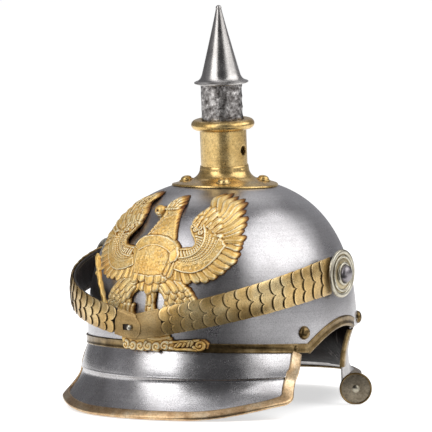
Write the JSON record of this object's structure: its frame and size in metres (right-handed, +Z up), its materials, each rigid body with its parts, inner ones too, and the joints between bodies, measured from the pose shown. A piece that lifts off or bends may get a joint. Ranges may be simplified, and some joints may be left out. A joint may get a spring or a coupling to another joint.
{
  "type": "cuirassier helmet",
  "caption": "Steel cuirassier helmet with a drawn-up spike, a gilt eagle plate, a flared visor, a long neck guard and a scaled chin strap that swings.",
  "frame": {"origin": "the middle of the head opening, on the table, under the point where the helmet's own leaning axis meets it", "axes": "+Z up, front of the helmet along -Y, wearer's left along +X; the helmet leans forward by 4 degrees as it stands"},
  "size_m": [0.2414, 0.3094, 0.3255],
  "materials": {
    "polished_steel": "polished and finely scratched",
    "spike_steel": "polished",
    "worn_steel": "bare, pitted",
    "guard_steel": "brown with age",
    "trim_brass": "dull polish",
    "dark_brass": "dark with age",
    "neck_brass": "satin",
    "gilt_brass": "frosted gilt, bright edges",
    "scale_brass": "worn gilt",
    "pale_brass": "pale, turned",
    "strap_leather": "old black leather",
    "lining_leather": "brown leather"
  },
  "bodies": {
    "helmet_shell": {"skull": "polished_steel", "front_visor": "polished_steel", "visor_trim": "trim_brass", "brow_band": "dark_brass", "ear_trim_left": "dark_brass", "ear_trim_right": "dark_brass", "neck_guard": "guard_steel", "neck_guard_trim": "dark_brass", "visor_rivets": "dark_brass", "neck_guard_rivets": "dark_brass", "band_rivets": "dark_brass", "lobe_rivets": "dark_brass", "spike_base": "neck_brass", "collar_ring": "neck_brass", "base_studs": "neck_brass", "base_nuts": "neck_brass", "eagle_plate": "gilt_brass", "eagle_rod": "gilt_brass", "eagle_posts": "gilt_brass", "eagle_nuts": "neck_brass", "rosette_left": "pale_brass", "rosette_right": "pale_brass", "pivot_bolt_left": "spike_steel", "pivot_bolt_right": "spike_steel", "strap_lug_left": "neck_brass", "strap_lug_right": "neck_brass", "pivot_nut_left": "worn_steel", "pivot_nut_right": "worn_steel", "sweatband": "lining_leather", "liner_ring": "lining_leather", "liner_tongues": "lining_leather"},
    "spike": {"spike_cone": "spike_steel", "spike_sleeve": "worn_steel", "spike_spring": "worn_steel"},
    "chin_left": {"chin_leather_left": "strap_leather", "chin_scales_left": "scale_brass", "chin_end_left": "scale_brass", "chin_stud": "worn_steel"},
    "chin_right": {"chin_leather_right": "strap_leather", "chin_scales_right": "scale_brass", "chin_end_right": "scale_brass"}
  },
  "joints": [
    {"name": "spike_lift", "type": "slide", "parent": "helmet_shell", "child": "spike", "axis": [0, -0.0698, 0.9976], "range_m": [-0.029, 0.02]},
    {"name": "strap_swing_left", "type": "hinge", "parent": "helmet_shell", "child": "chin_left", "pos_m": [0.1, -0.01529, 0.1111], "axis": [-1, 0, 0], "range_deg": [-4, 70]},
    {"name": "strap_swing_right", "type": "hinge", "parent": "helmet_shell", "child": "chin_right", "pos_m": [-0.1, -0.01529, 0.1111], "axis": [-1, 0, 0], "range_deg": [-4, 70]}
  ],
  "couplings": [
    {"joint": "strap_swing_right", "follows": "strap_swing_left", "ratio": 1}
  ]
}
